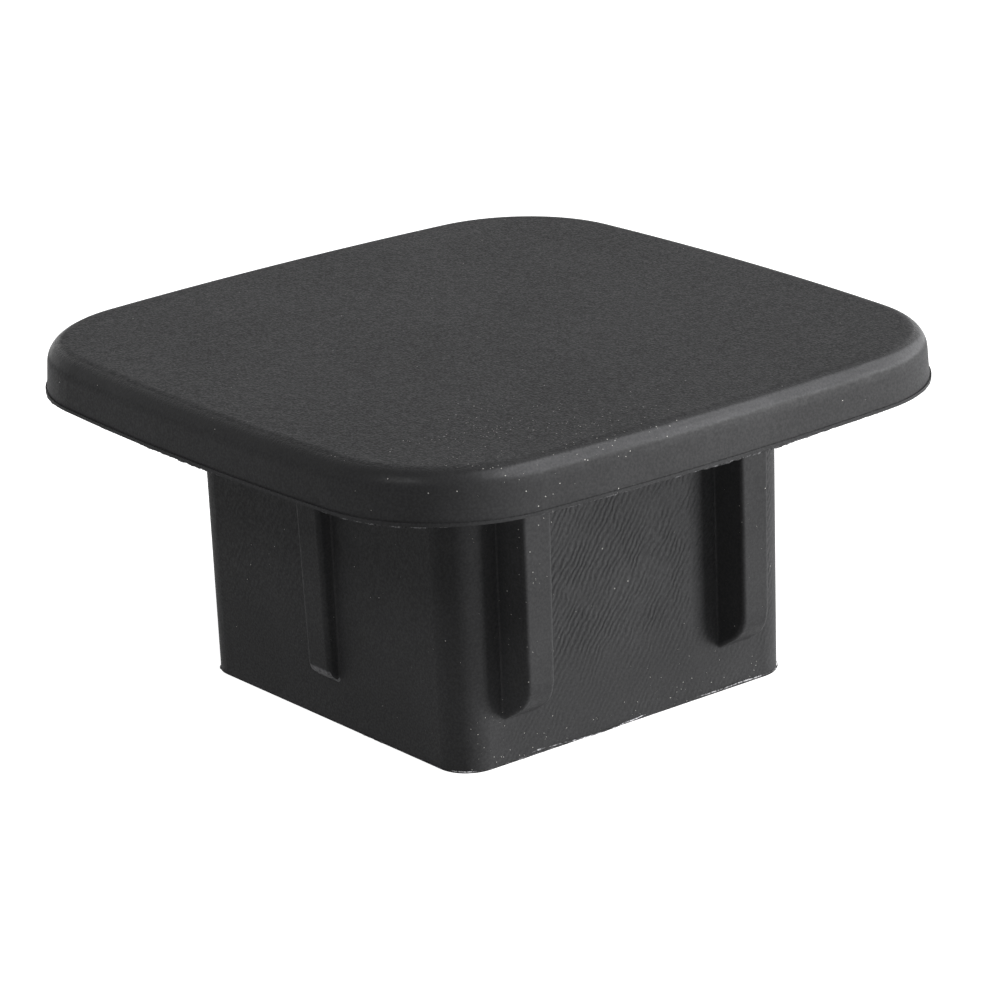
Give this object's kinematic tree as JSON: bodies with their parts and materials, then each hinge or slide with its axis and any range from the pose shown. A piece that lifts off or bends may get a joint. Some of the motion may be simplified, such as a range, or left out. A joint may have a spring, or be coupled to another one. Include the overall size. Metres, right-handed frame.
{
  "type": "hitch receiver cover",
  "caption": "Rubber cover for a square hitch receiver tube: a rounded square plate with a hollow ribbed plug that pushes into the tube.",
  "frame": {"origin": "middle of the shoulder, where the plate's underside meets the open end of the receiver tube", "axes": "+Z out through the plate's face and away from the tube; the plug points to -Z; the plug's +Y and -Y sides carry two ribs each, and its +X and -X sides one each"},
  "size_m": [0.078, 0.078, 0.0382],
  "materials": {
    "rubber": "black moulded rubber, matt with a fine grain, faint tool marks on the plug"
  },
  "bodies": {
    "root": {"receiver_cover": "rubber"}
  },
  "joints": []
}
